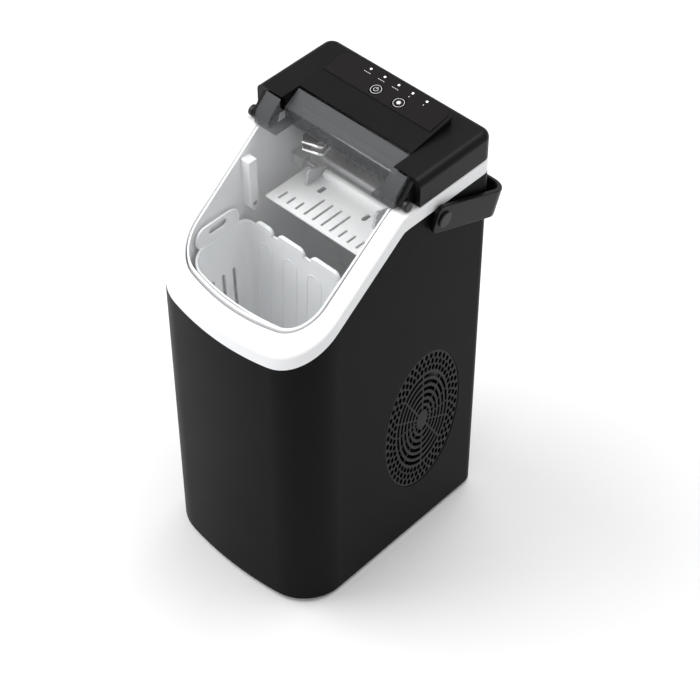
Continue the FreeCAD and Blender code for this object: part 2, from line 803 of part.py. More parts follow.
def control_overlay():
    """Glossy panel on the wedge with holes for two buttons and five lamps."""
    body = new_body("control_overlay")
    on_wedge(body, 0.0, 0.0, 0.05)
    plan = body_sketch(body, "overlay_plan", "XY")
    pad(body, rectangle(plan, -66.0, 66.0, 29.0, 60.0), 0.8)
    doc.recompute()
    corners = [f"Edge{i}" for i, e in enumerate(body.Shape.Edges, start=1) if rear_corner(e, body)]
    soften(body, corners, 10.0)
    holes = body_sketch(body, "overlay_holes", "XY")
    for x in BUTTON_X:
        ring(holes, x, BUTTON_ALONG, BUTTON_SEAT)
    for x in LED_X:
        ring(holes, x, LED_ALONG, 1.25)
    pocket(body, holes, both=True)
    node(body, "control_overlay")


def rear_corner(edge, body):
    """The overlay's two short upright edges at its rear."""
    local = edge.copy()
    local.transformShape(body.Placement.inverse().toMatrix())
    return local.BoundBox.ZLength > 0.7 and local.BoundBox.YMin > 50


def buttons():
    """Power and ice-size buttons: shallow caps over a stem that stops above the control board."""
    profile = [(0.0, 0.0), (4.0, 0.0), (4.0, 2.0), (6.6, 2.0), (6.6, 4.6), (6.0, 5.2), (0.0, 5.2)]
    for name, x in zip(("power_button", "select_button"), BUTTON_X):
        body = turned(name, profile)
        on_wedge(body, x, BUTTON_ALONG, -4.2)
        node(body, name)


def lamps():
    lenses = []
    for x in LED_X:
        lens = doc.addObject("Part::Cylinder", "lens")
        lens.Radius = 1.2
        lens.Height = 0.9
        lenses.append(on_wedge(lens, x, LED_ALONG, 0.06))
    node(group("lamp_group", lenses), "indicator_lenses")


def control_board():
    """Circuit board under the wedge with its chip, switches and header."""
    body = new_body("control_board")
    on_wedge(body, 0.0, 0.0, -9.5)
    pad(body, rectangle(body_sketch(body, "board_plan", "XY"), -50.0, 50.0, 26.0, 52.0), 1.6)
    chips = body_sketch(body, "board_parts", "XY", 1.6)
    rectangle(chips, -42.0, -30.0, 31.0, 41.0)
    rectangle(chips, 34.0, 46.0, 29.0, 39.0)
    for x in BUTTON_X:
        rectangle(chips, x - 3.0, x + 3.0, BUTTON_ALONG - 3.0, BUTTON_ALONG + 3.0)
    pad(body, chips, 2.0)
    node(body, "control_board")


def inner_cover():
    """Plate that closes the cover from below and keeps damp air off the board."""
    node(box("inner_plate", -78.0, 64.0, deck(0.3), 156.0, 54.0, 1.8), "inner_cover")


# ---------------------------------------------------------------- lid

def lid_plan(label, half, front, rear, corner):
    """Plan of the lid: rounded towards the front."""
    return outline(free_sketch(label, deck(-152.0)), half, front, rear, 290.0, corner, 2.0)


def lid_window():
    """Clear lid that follows the rim's slope just above it, and runs back between the hinge arms."""
    kink = dim("rim_kink")
    front = -150.0
    high = deck(3.4)
    low = deck(1.2)
    fall = slope_rise(kink - front)
    upper = slab("window_upper", [(front, 150.0), (STRIP_FRONT, 150.0), (STRIP_FRONT, high), (kink, high),
                                  (front, high - fall)], 150.0)
    lower = slab("window_lower", [(front - 1, 149.0), (STRIP_FRONT + 1, 149.0), (STRIP_FRONT + 1, low),
                                  (kink, low),
                                  (front - 1, low - fall)], 151.0)
    corners = [box("window_corner", x, ARM_FRONT, deck(-52.0), 60.0, 60.0,
                   100.0) for x in (-60.0 - BAR_INNER, BAR_INNER)]
    shape = raised("window_block", lid_plan("window_plan", 91.0, 118.5, 80.0, 43.0), 200.0)
    node(cut("window_trim", common("window", shape, cut("window_sheet", upper, [lower])), corners),
         "lid_window")


def lid_strip():
    """Cross strip: a sloping top and an upright front, closed at both ends and open below."""
    low, front_top, rear_top = deck(1.2), deck(17.0), deck(28.6)
    outside = slab("strip", [(STRIP_FRONT, low), (STRIP_REAR, low), (STRIP_REAR, rear_top),
                             (STRIP_FRONT, front_top)], 69.0)
    inside = slab("strip_inside", [(STRIP_FRONT + 2.2, low - 2.0), (STRIP_REAR + 2.4, low - 2.0),
                                   (STRIP_REAR + 2.4,
                                    rear_top - 1.1), (STRIP_FRONT + 2.2, front_top - 1.2)], 67.0)
    return cut("strip_shell", outside, [inside])


def lid_hood(side):
    """Hollow hood over one hinge barrel, with a sloping face that carries on the shoulder's line."""
    deep, height = dim("hinge_depth"), dim("hinge_height")

    def section(label, points, left, width):
        shape = slab(label, [(deep + y, height + z) for y, z in points], 120.0)
        return common(label + "_part", shape, box(label + "_room", left, -60.0, deck(-52.0), width, 240.0,
                                                  140.0))

    outside = [(-8.0, -4.8), (-8.0, 0.0), (-4.5, 9.5), (9.4, 22.6), (7.6, 13.0), (6.8, 7.0), (5.5, 0.9),
               (3.0, -4.6)]
    inside = [(-5.8, -9.0), (-5.8, 0.0), (-2.9, 8.4), (9.4, 20.0), (20.0, 20.0), (20.0, -9.0)]
    hood = section("hood", outside, min(side * 69.4, side * 87.6), 18.2)
    return cut("hood_shell", hood, [section("hood_inside", inside, min(side * 71.0, side * 86.0), 15.0)])


def lid_frame():
    """Smoked hinge end of the lid: cross strip, side bars, hoods and the hinge barrels."""
    low = deck(1.2)
    deep, height = dim("hinge_depth"), dim("hinge_height")
    pieces = [lid_strip()]
    holes = []
    for side in (-1, 1):
        pieces.append(box("lid_bar", min(side * BAR_INNER, side * 69.4), ARM_FRONT, low, 9.4, 40.6, 3.4))
        pieces.append(lid_hood(side))
        pieces.append(rod("lid_hub", 4.2, 17.0, min(side * 70.4, side * 87.4), deep, height, "X"))
        holes.append(rod("lid_bore", dim("hinge_pin") + dim("running"), 8.2, min(side * 79.6, side * 87.8),
                         deep, height,
                         "X"))
    node(cut("lid_frame_cut", fuse("lid_frame_whole", pieces), holes), "lid_frame")


def hinge_pins():
    """Stub pins with round knobs that hold the lid in the cover's ears."""
    for name, side in (("left", -1), ("right", 1)):
        profile = [(0.0, 0.0), (3.0, 0.0), (3.0, 13.9), (5.2, 13.9), (5.6, 15.0), (5.6, 18.0), (4.6, 19.0),
                   (0.0, 19.0)]
        axis_angle = 90.0 * side
        body = turned("hinge_pin_" + name, profile, side * 80.2, dim("hinge_depth"), dim("hinge_height"),
                      (0, 1, 0), axis_angle)
        node(body, "hinge_pin_" + name)


# ---------------------------------------------------------------- carry handle

def carry_handle():
    """U-shaped strap handle that wraps round the back and swings up over the cover."""
    body = new_body("carry_handle", 0.0, dim("handle_pivot_depth"), dim("handle_pivot_height"), (1, 0, 0),
                    -dim("handle_droop").value)
    inner = dim("half_width") + 1.8
    outer = inner + dim("strap_thickness")
    reach = dim("handle_reach")
    pad(body, rectangle(body_sketch(body, "strap_outer", "XY"), -outer, outer, -12.0,
                        reach + dim("strap_thickness")),
        dim("strap_height"), both=True)
    pocket(body, rectangle(body_sketch(body, "strap_inner", "XY"), -inner, inner, -30.0, reach), both=True)
    doc.recompute()
    reach_value = reach.value
    height = dim("strap_height").value

    def upright(edge, depth):
        local = edge.copy()
        local.transformShape(body.Placement.inverse().toMatrix())
        room = local.BoundBox
        return room.ZLength > height - 1 and abs(room.YMin - depth) < 0.1 and room.YLength < 0.1

    def end_corner(edge):
        local = edge.copy()
        local.transformShape(body.Placement.inverse().toMatrix())
        return local.BoundBox.YMax < -11.9 and local.BoundBox.XLength > 4.5

    for depth, radius in ((reach_value, 16.0), (reach_value + dim("strap_thickness").value, 21.0)):
        doc.recompute()
        names = [f"Edge{i}" for i, e in enumerate(body.Shape.Edges, start=1) if upright(e, depth)]
        soften(body, names, radius)
    doc.recompute()
    soften(body, [f"Edge{i}" for i, e in enumerate(body.Shape.Edges, start=1) if end_corner(e)], 7.0)
    pocket(body, ring(body_sketch(body, "strap_bore", "YZ"), 0.0, 0.0, 6.0 + dim("running")), both=True)
    node(body, "carry_handle")


def handle_pivots():
    """Shouldered buttons that pin the handle's arms to the casing."""
    for name, side in (("left", -1), ("right", 1)):
        profile = [(0.0, 0.0), (3.95, 0.0), (3.95, 4.5), (6.0, 4.5), (6.0, 11.4), (8.0, 11.4), (8.0, 12.6),
                   (6.8, 13.4), (0.0, 13.4)]
        body = turned("handle_pivot_" + name, profile, side * (dim("half_width") - 4.4),
                      dim("handle_pivot_depth"),
                      dim("handle_pivot_height"), (0, 1, 0), 90.0 * side)
        node(body, "handle_pivot_" + name)


# ---------------------------------------------------------------- basket and ice works

def ice_basket():
    """Slotted ice basket with a finger tab on its left and two rounded tabs at its rear."""
    half, top, bottom = dim("basket_half"), dim("basket_top"), dim("basket_bottom")

    def taper(label, inset):
        low = outline(free_sketch(label + "_low", bottom + inset), half - 5.0 - inset, 97.0 - inset,
                      -20.0 - inset,
                      240.0, 28.0 - inset, 8.0)
        high = outline(free_sketch(label + "_high", top), half - inset, 105.0 - inset, -16.0 - inset, 240.0,
                       34.0 - inset, 8.0)
        loft = doc.addObject("Part::Loft", label)
        loft.Sections = [low, high]
        loft.Solid = True
        loft.Ruled = True
        return loft

    walls = cut("basket_walls", taper("basket_outside", 0.0), [taper("basket_inside", 1.8)])
    foot = bottom + 16.0
    tall = 63.0
    slots = []
    for depth in SIDE_SLOTS:
        slots.append(box("side_slot", -90.0, depth - 2.2, foot, 180.0, 4.4, tall))
        slots.append(rod("side_slot_top", 2.2, 180.0, -90.0, depth, foot + tall, "X"))
    for x in FRONT_SLOTS:
        slots.append(box("front_slot", x - 1.7, -112.0, foot, 3.4, 50.0, tall))
        slots.append(box("floor_slot", x - 1.7, -74.0, bottom - 6.0, 3.4, 44.0, 12.0))
    tab = stadium_plate("grip_tab", -half.value - 0.1, -53.0, top + 10.0, 15.0, 13.0)
    hole = stadium_plate("grip_hole", -half.value - 2.0, -53.0, top + 14.0, 7.0, 4.6, 8.0)
    rear_tabs = []
    for x, width in REAR_TABS:
        plate = box("rear_tab", x, -17.8, top - 7.0, width, 1.8, 16.0)
        rear_tabs.append(rounded("rear_tab_soft", plate, is_tab_corner, 6.5))
    whole = fuse("basket_whole", [walls, tab] + rear_tabs)
    node(cut("basket_cut", whole, slots + [hole]), "ice_basket")


def is_tab_corner(edge):
    """An upper corner of one of the basket's rear tabs."""
    return edge.BoundBox.YLength > 1 and edge.BoundBox.ZMin > dim("basket_top").value + 4


def stadium_plate(label, x, y, z, half_length, radius, thickness=2.0):
    """Upright plate with round ends in the YZ plane, from x towards +X."""
    shapes = [Part.makeCylinder(radius, thickness, V(0, s * half_length, 0), V(1, 0, 0)) for s in (-1, 1)]
    middle = Part.makeBox(thickness, 2 * half_length, 2 * radius, V(0, -half_length, -radius))
    return computed(label, shapes[0].multiFuse([shapes[1], middle]).removeSplitter(), x, y, z)


def ice_pusher():
    """Slotted ice shovel whose rear edge is rolled round the cross rod."""
    half, front = dim("pusher_half"), dim("pusher_front")
    deep, height = dim("rod_depth"), dim("rod_height")
    body = new_body("ice_pusher")
    base = height - 4.6
    pad(body, rectangle(body_sketch(body, "plate_plan", "XY", base), -half, half, front, deep - 1.0), 2.0)
    knuckle = body_sketch(body, "knuckle", "YZ")
    pad(body, ring(knuckle, deep, height, 4.6), 80.0, both=True)
    slots = body_sketch(body, "plate_slots", "XY", base)
    for i in range(10):
        x = -50.0 + 11.1 * i
        long_slot = 3 <= i <= 6
        stadium(slots, x, 16.5 if long_slot else 8.5, 13.0 if long_slot else 5.0, 1.3)
    for x in (-28.5, 28.5):
        stadium(slots, x, 39.0, 3.0, 2.6)
    pocket(body, slots, both=True)
    pocket(body, ring(body_sketch(body, "knuckle_bore", "YZ"), deep, height, dim("rod_radius") + 0.02),
           both=True)
    node(body, "ice_pusher")


def pusher_rod():
    node(rod("pusher_rod", dim("rod_radius"), 146.0, -73.0, dim("rod_depth"), dim("rod_height"), "X"),
         "pusher_rod")


def pusher_arms():
    """Cam-shaped arms fixed on the shovel near its ends, threaded on the rod."""
    for name, x in (("left", -45.0), ("right", 42.0)):
        hub = Part.makeCylinder(7.0, 3.0, V(0, 0, 0), V(1, 0, 0))
        nose = Part.makeCylinder(4.5, 3.0, V(0, -17.0, 9.5), V(1, 0, 0))
        web = Part.Face(Part.makePolygon([V(0, -3.5, -2.4), V(0, -24.0, -2.4), V(0, -20.9, 7.3),
                                          V(0, -14.5, 13.2),
                                          V(0, 3.0, 6.3), V(0, -3.5, -2.4)])).extrude(V(3, 0, 0))
        foot = Part.makeBox(3.0, 40.0, 20.0, V(0, -34.0, -22.5))
        bore = Part.makeCylinder(dim("rod_radius").value + 0.02, 9.0, V(-3, 0, 0), V(1, 0, 0))
        shape = hub.multiFuse([nose, web]).cut([foot, bore]).removeSplitter()
        node(computed("pusher_arm_" + name, shape, x, dim("rod_depth"), dim("rod_height")),
             "pusher_arm_" + name)


def bearing_block(label, x, y, z, radius, length, side, size=9.0):
    """Block on the bin's side wall with a bore for a shaft along X."""
    start = x if side > 0 else x - length
    block = box(label + "_block", start, y - size, z - size, length, size * 2, size * 2)
    bore = rod(label + "_bore", radius, length + 4.0, start - 2.0, y, z, "X")
    return cut(label, block, [bore])


def shaft_bearings():
    running = dim("running")
    pair = []
    for side in (-1, 1):
        pair.append(bearing_block("rod_block", side * 66.0, dim("rod_depth"), dim("rod_height"),
                                  dim("rod_radius") + running, 13.5, side, 6.0))
    node(group("rod_blocks", pair), "rod_bearings")
    piece = bearing_block("tray_bearing", 62.0, dim("tray_depth"), dim("tray_height"), 4.0 + running, 17.6,
                          1, 8.0)
    node(piece, "tray_bearing")


def water_tray():
    """Half-round tilting trough with end walls and stub shafts."""
    deep, height, half = dim("tray_depth"), dim("tray_height"), dim("tray_half")
    outer = rod("tray_drum", dim("tray_outer"), half * 2, -half, deep, height, "X")
    hollow = rod("tray_hollow", dim("tray_inner"), half * 2 - 4.0, 2.0 - half, deep, height, "X")
    upper = box("tray_upper", -80.0, 0.0, height, 160.0, 150.0, 40.0)
    trough = cut("tray_trough", outer, [hollow, upper])
    pieces = [trough]
    for side in (-1, 1):
        hub_start = min(side * 52.0, side * 54.0)
        pieces.append(rod("tray_hub", 7.0, 2.0, hub_start, deep, height, "X"))
    pieces.append(rod("tray_shaft_left", 4.0, 37.0, -91.0, deep, height, "X"))
    pieces.append(rod("tray_shaft_right", 4.0, 18.0, 54.0, deep, height, "X"))
    node(fuse("tray", pieces), "water_tray")


def tray_motor():
    """Gear motor that turns the tray, between the bin and the casing."""
    drum = rod("motor_drum", 17.0, 14.5, -98.4, dim("tray_depth"), dim("tray_height"), "X")
    lug = box("motor_lug", -86.4, dim("tray_depth") - 24.0, dim("tray_height") - 5.0, 2.0, 48.0, 10.0)
    bore = rod("motor_bore", 4.0 + dim("running"), 28.0, -92.0, dim("tray_depth"), dim("tray_height"), "X")
    node(cut("motor_cut", fuse("motor_whole", [drum, lug]), [bore]), "tray_gear_motor")


def evaporator():
    """Plated evaporator bar with nine freezing fingers that dip into the tray."""
    deep = dim("tray_depth")
    bar = box("evaporator_bar", -48.0, deep - 8.0, dim("tray_height") + 15.0, 96.0, 16.0, 9.0)
    tip_height = dim("tray_height") - 11.0
    fingers = []
    for i in range(9):
        x = -42.0 + 10.5 * i
        stem = rod("finger_stem", 4.2, 27.0, x, deep, tip_height)
        tip = doc.addObject("Part::Sphere", "finger_tip")
        tip.Radius = 4.2
        fingers += [stem, place(tip, x, deep, tip_height)]
    node(fuse("evaporator_whole", [bar] + fingers), "evaporator")


def wire(points, radius, bend):
    """Round tube along straight runs joined by tangent arcs."""
    edges = []
    here = points[0]
    for before, corner, after in zip(points, points[1:], points[2:]):
        towards = (corner - before).normalize()
        away = (after - corner).normalize()
        turn = towards.getAngle(away)
        reach = bend * math.tan(turn / 2)
        enter = corner - towards * reach
        leave = corner + away * reach
        middle_way = (away - towards).normalize()
        middle = corner + middle_way * (bend / math.cos(turn / 2) - bend)
        edges.append(Part.LineSegment(here, enter).toShape())
        edges.append(Part.Arc(enter, middle, leave).toShape())
        here = leave
    edges.append(Part.LineSegment(here, points[-1]).toShape())
    path = Part.Wire(edges)
    start = Part.Wire([Part.Circle(points[0], points[1] - points[0], radius).toShape()])
    return path.makePipeShell([start], True, False)


def evaporator_tubes():
    """Bright inlet and outlet tubes that loop out beside the evaporator, and their bracket."""
    tubes = []
    for lift in (0.0, 9.0):
        z = dim("tray_height").value + 14.0 + lift
        points = [V(-62.0, 66.0, z), V(-44.0, 66.0, z), V(-40.0, 52.0, z), V(-60.0, 46.0, z)]
        tubes.append(computed("hook", wire(points, 2.0, 4.5)))
    node(group("hooks", tubes), "evaporator_tubes")
    bracket = box("bracket_plate", -64.2, 50.0, dim("tray_height") + 6.0, 2.0, 22.0, 20.0)
    node(bracket, "tube_bracket")


def evaporator_shield():
    """Dark splash plate between the shovel and the evaporator, and the bright rail across it."""
    plate = box("shield_plate", -58.0, 69.0, dim("tray_height") + 25.2, 116.0, 1.6, 22.0)
    node(plate, "evaporator_shield")
    node(rod("shield_rail", 1.6, 88.0, -44.0, 67.3, dim("tray_height") + 29.0, "X"), "shield_rail")


def water_inlet():
    node(tube("water_inlet_pipe", 3.0, 2.0, 36.0, 48.0, INLET_DEPTH, deck(-21.0), "X"), "water_inlet")


def tube(label, outer, inner, length, x, y, z, towards):
    solid = rod(label + "_solid", outer, length, x, y, z, towards)
    start = {"X": (-1.0, 0, 0), "Y": (0, -1.0, 0), "Z": (0, 0, -1.0)}[towards]
    hole = rod(label + "_hole", inner, of(length) + 2.0, x + start[0], y + start[1], z + start[2], towards)
    return cut(label, solid, [hole])


def ice_full_sensor():
    """Pair of infrared eyes in the bin's side walls that see when the basket is full."""
    eyes = []
    for side in (-1, 1):
        eyes.append(rod("eye", 3.0, 4.0, side * 80.9 - 2.0, EYE_DEPTH, deck(-84.0), "X"))
    node(group("eyes", eyes), "ice_full_sensor")


# ---------------------------------------------------------------- machine compartment

def compressor():
    """Sealed compressor can on a three-legged plate, with its terminal cover."""
    x, y = -44.0, 74.0
    profile = [(0.0, 15.9), (30.0, 15.9), (40.0, 20.0), (44.0, 28.0), (44.0, 72.0), (46.0, 73.0),
               (46.0, 76.0),
               (44.0, 77.0), (44.0, 106.0), (40.0, 116.0), (28.0, 122.0), (0.0, 124.0)]
    can = turned("compressor_can", profile, x, y)
    plate = box("legs_block", -98.0, 13.0, 13.5, 108.0, 98.0, 2.4)
    corner_cuts = [box("legs_left", -100.0, 10.0, 0.0, 38.0, 55.0, 40.0),
                   box("legs_right", -26.0, 10.0, 0.0, 40.0, 55.0, 40.0)]
    corner_cuts += [rod("leg_bore", 4.05, 20.0, lx, ly, 5.0) for lx, ly in COMPRESSOR_LEGS]
    node(fuse("compressor_whole", [can, cut("legs", plate, corner_cuts)]), "compressor")
    grommets = [turned("grommet", [(1.0, 7.0), (7.0, 7.0), (7.0, 13.4), (4.0, 13.4), (4.0, 16.0),
                                   (6.5, 16.0), (6.5, 19.0),
                                   (1.0, 19.0)], lx, ly) for lx, ly in COMPRESSOR_LEGS]
    node(group("grommets", grommets), "compressor_grommets")
    node(box("terminal_block", -60.0, 11.0, 48.0, 30.0, 16.7, 34.0), "terminal_cover")


def condenser():
    """Finned condenser: serpentine tubes through a stack of thin fins."""
    depth, height = dim("fan_depth") - 46.0, dim("fan_height") - 48.0
    fins = [box("fin", 30.0 + 2.0 * i, depth, height, 0.6, 92.0, 96.0) for i in range(11)]
    tubes = []
    for row in range(6):
        for rise in (8.0, 48.0, 88.0):
            tubes.append(rod("condenser_tube", 3.0, 30.0, 26.0, depth + 12.0 + 13.6 * row, height + rise,
                             "X"))
    node(fuse("condenser_whole", fins + tubes), "condenser")


def fan():
    """Axial fan: shroud ring with struts, motor and seven-bladed rotor."""
    y, z = dim("fan_depth"), dim("fan_height")
    plate = box("shroud_plate", 76.0, y - 48.0, z - 48.0, 2.0, 96.0, 96.0)
    collar = rod("shroud_collar", 47.0, 18.0, 78.0, y, z, "X")
    mouth = rod("shroud_mouth", 45.0, 60.0, 60.0, y, z, "X")
    ring_part = cut("shroud_ring", fuse("shroud_solid", [plate, collar]), [mouth])
    struts = []
    for turn in range(3):
        strut = computed("strut", Part.makeBox(2.0, 31.0, 5.0, V(0, 15.5, -2.5)))
        struts.append(place(strut, 76.0, y, z, (1, 0, 0), 90.0 + 120.0 * turn))
    cup = rod("motor_cup", 17.5, 2.0, 76.0, y, z, "X")
    cup_hole = rod("motor_cup_hole", 3.2, 10.0, 72.0, y, z, "X")
    node(cut("shroud_cut", fuse("shroud_whole", [ring_part, cup] + struts), [cup_hole]), "fan_shroud")
    can = rod("fan_motor_can", 15.0, 17.0, 58.9, y, z, "X")
    shaft_hole = rod("fan_motor_bore", 2.0 + dim("running"), 14.0, 63.0, y, z, "X")
    node(cut("fan_motor_cut", can, [shaft_hole]), "fan_motor")
    hub = rod("fan_hub", 14.0, 13.0, 80.0, y, z, "X")
    shaft = rod("fan_shaft", 2.0, 16.5, 64.0, y, z, "X")
    blades = [computed("blade", fan_blade(turn), 86.5, y, z) for turn in range(BLADE_COUNT)]
    node(fuse("rotor_whole", [hub, shaft] + blades), "fan_rotor")


def fan_blade(turn):
    """One pitched blade about the X axis."""
    length = dim("fan_radius").value - 10.0
    blade = Part.makeBox(1.6, 22.0, length, V(-0.8, -11.0, 10.0))
    blade.rotate(V(), V(0, 0, 1), 32.0)
    blade.rotate(V(), V(1, 0, 0), 360.0 * turn / BLADE_COUNT)
    return blade.common(Part.makeCylinder(dim("fan_radius").value, 12.6, V(-6.3, 0, 0), V(1, 0, 0)))


def refrigerant_parts():
    """Filter drier and the copper lines between compressor, condenser and evaporator."""
    node(turned("filter_drier", [(0.0, 0.0), (2.0, 0.0), (7.0, 8.0), (7.0, 42.0), (2.0, 50.0), (0.0, 50.0)],
                14.0, 40.0, 70.0),
         "filter_drier")
    lines = [
        wire([V(-10.0, 60.0, 127.0), V(-10.0, 60.0, 140.0), V(14.0, 40.0, 148.0), V(14.0, 40.0, 121.0)],
             2.0, 5.0),
        wire([V(14.0, 40.0, 69.0), V(14.0, 40.0, 58.0), V(22.0, 26.0, 52.0),
              V(22.0, 26.0, dim("fan_height").value - 54.0)], 2.0, 3.5),
    ]
    node(group("lines", [computed("line", line) for line in lines]), "refrigerant_lines")
    valve = fuse("valve_whole", [rod("valve_body", 7.0, 24.0, -20.0, -8.0, 140.0, "X"),
                                 box("valve_coil", -16.0, -18.0, 128.0, 16.0, 20.0, 12.0)])
    node(valve, "defrost_valve")


def water_parts():
    """Pump under the bin, its hose up to the tray, and the drain to the rear."""
    x, y = PUMP
    pump = turned("water_pump", [(0.0, -34.0), (15.0, -34.0), (17.0, -31.0), (17.0, -14.0), (8.0, -10.0),
                                 (3.8, -8.0),
                                 (3.8, -1.0), (0.0, -1.0)], x, y, dim("bin_floor"))
    node(pump, "water_pump")
    floor = dim("bin_floor").value
    inlet = deck(-21.0).value
    hose = wire([V(x + 17.2, y, floor - 23.0), V(HOSE_X, y, floor - 23.0), V(HOSE_X, y, inlet - 31.0),
                 V(HOSE_X, INLET_DEPTH, inlet), V(84.2, INLET_DEPTH, inlet)], 3.2, 6.5)
    node(computed("pump_hose", hose), "pump_hose")
    dx, dz = DRAIN
    drain = wire([V(dx, 96.0, floor - 0.4), V(dx, 96.0, 60.0), V(dx, 110.0, dz), V(dx, 123.8, dz)], 4.0, 12.0)
    node(computed("drain_hose", drain), "drain_hose")
    spout = tube("drain_spout_pipe", 6.0, 4.0, 12.0, dx, 124.0, dz, "Y")
    node(spout, "drain_spout")
    node(turned("drain_plug", [(0.0, -10.0), (3.93, -10.0), (3.93, 0.3), (9.0, 0.3), (9.0, 4.0), (7.5, 5.5),
                               (0.0, 5.5)], dx, 136.0, dz,
                (1, 0, 0), -90.0), "drain_plug")


def electrics():
    """Power board on its stand-offs and the mains inlet gland."""
    board = box("power_plate", -48.0, -98.0, 34.0, 96.0, 1.6, 86.0)
    parts = [box("transformer", -40.0, -96.4, 44.0, 30.0, 24.0, 26.0),
             box("relay", 10.0, -96.4, 44.0, 20.0, 16.0, 16.0),
             rod("capacitor", 6.0, 20.0, 20.0, -96.4, 90.0, "Y"), box("terminals", -40.0, -96.4, 92.0, 40.0,
                                                                      10.0, 12.0)]
    feet_ = [box("board_foot", x, -98.0, 7.0, 8.0, 8.0, 30.0) for x in (-46.0, 38.0)]
    node(fuse("power_whole", [board] + parts + feet_), "power_board")
    gx, gz = GLAND
    gland = turned("cord_gland", [(3.5, -6.0), (10.0, -6.0), (10.0, -0.2), (7.95, -0.2), (7.95, 4.8),
                                  (11.0, 4.8), (11.0, 6.6),
                                  (6.0, 8.6), (3.5, 8.6)], gx, 125.0, gz, (1, 0, 0), -90.0)
    node(gland, "cord_gland")


def screws():
    """Pan-head screws of the rear panel."""
    heads = []
    for side in (-1, 1):
        for height in REAR_SCREW_HEIGHTS:
            heads.append(turned("rear_screw", [(0.0, -9.0), (1.7, -9.0), (1.7, 0.0), (3.4, 0.0), (3.0, 1.4),
                                               (0.0, 1.8)],
                                side * REAR_SCREW_X, 130.0, height, (1, 0, 0), -90.0))
    node(group("rear_screw_group", heads), "rear_panel_screws")


for build in (
        outer_shell, rear_panel, base_pan, feet, vent_grille, intake_grille, rim_frame, bin_liner, insulation,
        top_cover, control_overlay, buttons, lamps, control_board, inner_cover,
        lid_window, lid_frame, hinge_pins, carry_handle, handle_pivots,
        ice_basket, ice_pusher, pusher_rod, pusher_arms, shaft_bearings, water_tray, tray_motor,
        evaporator, evaporator_tubes, evaporator_shield, water_inlet, ice_full_sensor,
        compressor, condenser, fan, refrigerant_parts, water_parts, electrics, screws):
    build()

doc.recompute()
faults = [f"{o.Label}: {o.State}" for o in doc.Objects if {"Invalid", "Error"} & set(o.State)]
for piece in NODES:
    shape = piece.Shape
    if shape.isNull() or not shape.isValid() or shape.Volume < 1:
        faults.append(f"{piece.Label}: no sound solid")
if faults:
    raise SystemExit("\n".join(faults))

os.makedirs("parts", exist_ok=True)
for piece in NODES:
    piece.Shape.exportStep(f"parts/{piece.Label}.step")
print(len(NODES), "pieces written")
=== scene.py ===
"""Looks of the countertop ice maker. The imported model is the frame, and every piece here rides on it.

Lengths in metres, in the row's frame: +Z up, front of the machine towards -Y, oval vent on +X.
"""

import json
import math

import bmesh
import bpy
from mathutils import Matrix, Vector


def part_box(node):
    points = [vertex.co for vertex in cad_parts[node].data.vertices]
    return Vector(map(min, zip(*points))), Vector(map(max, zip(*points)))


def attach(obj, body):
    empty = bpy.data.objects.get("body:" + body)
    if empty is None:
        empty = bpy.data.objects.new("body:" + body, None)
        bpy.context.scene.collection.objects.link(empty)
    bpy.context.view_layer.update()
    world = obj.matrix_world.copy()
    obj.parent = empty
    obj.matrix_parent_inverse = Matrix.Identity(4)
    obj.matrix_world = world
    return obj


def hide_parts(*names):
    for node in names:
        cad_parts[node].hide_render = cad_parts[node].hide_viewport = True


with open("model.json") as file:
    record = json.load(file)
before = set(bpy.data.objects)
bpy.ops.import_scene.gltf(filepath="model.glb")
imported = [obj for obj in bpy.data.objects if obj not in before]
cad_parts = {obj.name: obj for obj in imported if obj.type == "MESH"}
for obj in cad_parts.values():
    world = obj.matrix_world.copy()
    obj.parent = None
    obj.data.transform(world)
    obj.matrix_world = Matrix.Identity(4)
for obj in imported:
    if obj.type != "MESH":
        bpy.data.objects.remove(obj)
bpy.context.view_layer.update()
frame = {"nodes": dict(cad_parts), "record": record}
NODES = frame["nodes"]
SCENE = bpy.context.scene
MM = 0.001

# ---------------------------------------------------------------- places read from the frame

SHELL_LOW, SHELL_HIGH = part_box("outer_shell")
BASKET_LOW, BASKET_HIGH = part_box("ice_basket")
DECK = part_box("rim_frame")[1].z
BAND = DECK - SHELL_HIGH.z
HALF_WIDTH = SHELL_HIGH.x
FRONT = -SHELL_LOW.y
REAR = SHELL_HIGH.y

# rim: plan outlines are half width, front, rear, bow radius, front corners and rear corners
CASING_PLAN = (HALF_WIDTH, FRONT, REAR, 380 * MM, 49 * MM, 12 * MM)
MOUTH_PLAN = (84 * MM, 112 * MM, 109 * MM, 280 * MM, 36 * MM, 12 * MM)
KINK = 10 * MM
FALL = math.tan(math.radians(37.0))

# basket: its tabs on the rear wall are a middle and half a straight length, in millimetres
BASKET_TOP = BASKET_LOW.z + 130 * MM
BASKET_EDGE_PLAN = (BASKET_HIGH.x - 0.6 * MM, 104.4 * MM, -16.6 * MM, 239 * MM, 33.4 * MM, 7.4 * MM)
REAR_WALL = -17.8 * MM
REAR_LEAN = 4 * MM
REAR_TABS = ((-49.0, 6.4), (-14.0, 12.4), (30.0, 13.4))
FLUTES = (-48, -16, 16, 48)
GRIP_TAB = -53 * MM

# boss on the bin's left wall: how far it stands out, and the screw's place in it
BOSS_WALL = -81.5 * MM
BOSS_OUT = 12 * MM
BOSS_SCREW = -9.5 * MM

# control wedge
COVER_TOP = DECK + 30 * MM
WEDGE_FRONT = 53 * MM
WEDGE_LOW = COVER_TOP + 1 * MM
WEDGE_TILT = math.atan2(9.0, 61.0)
BUTTON_X = (-8.5 * MM, 19.7 * MM)
BUTTON_ALONG = 38.5 * MM
BUTTON_TOP = 1.01 * MM
LED_X = [(-30.0 + 17.35 * i) * MM for i in range(5)]
LED_ALONG = 55.3 * MM
OVERLAY_TOP = 0.86 * MM
FILM = 0.03 * MM


# ---------------------------------------------------------------- materials

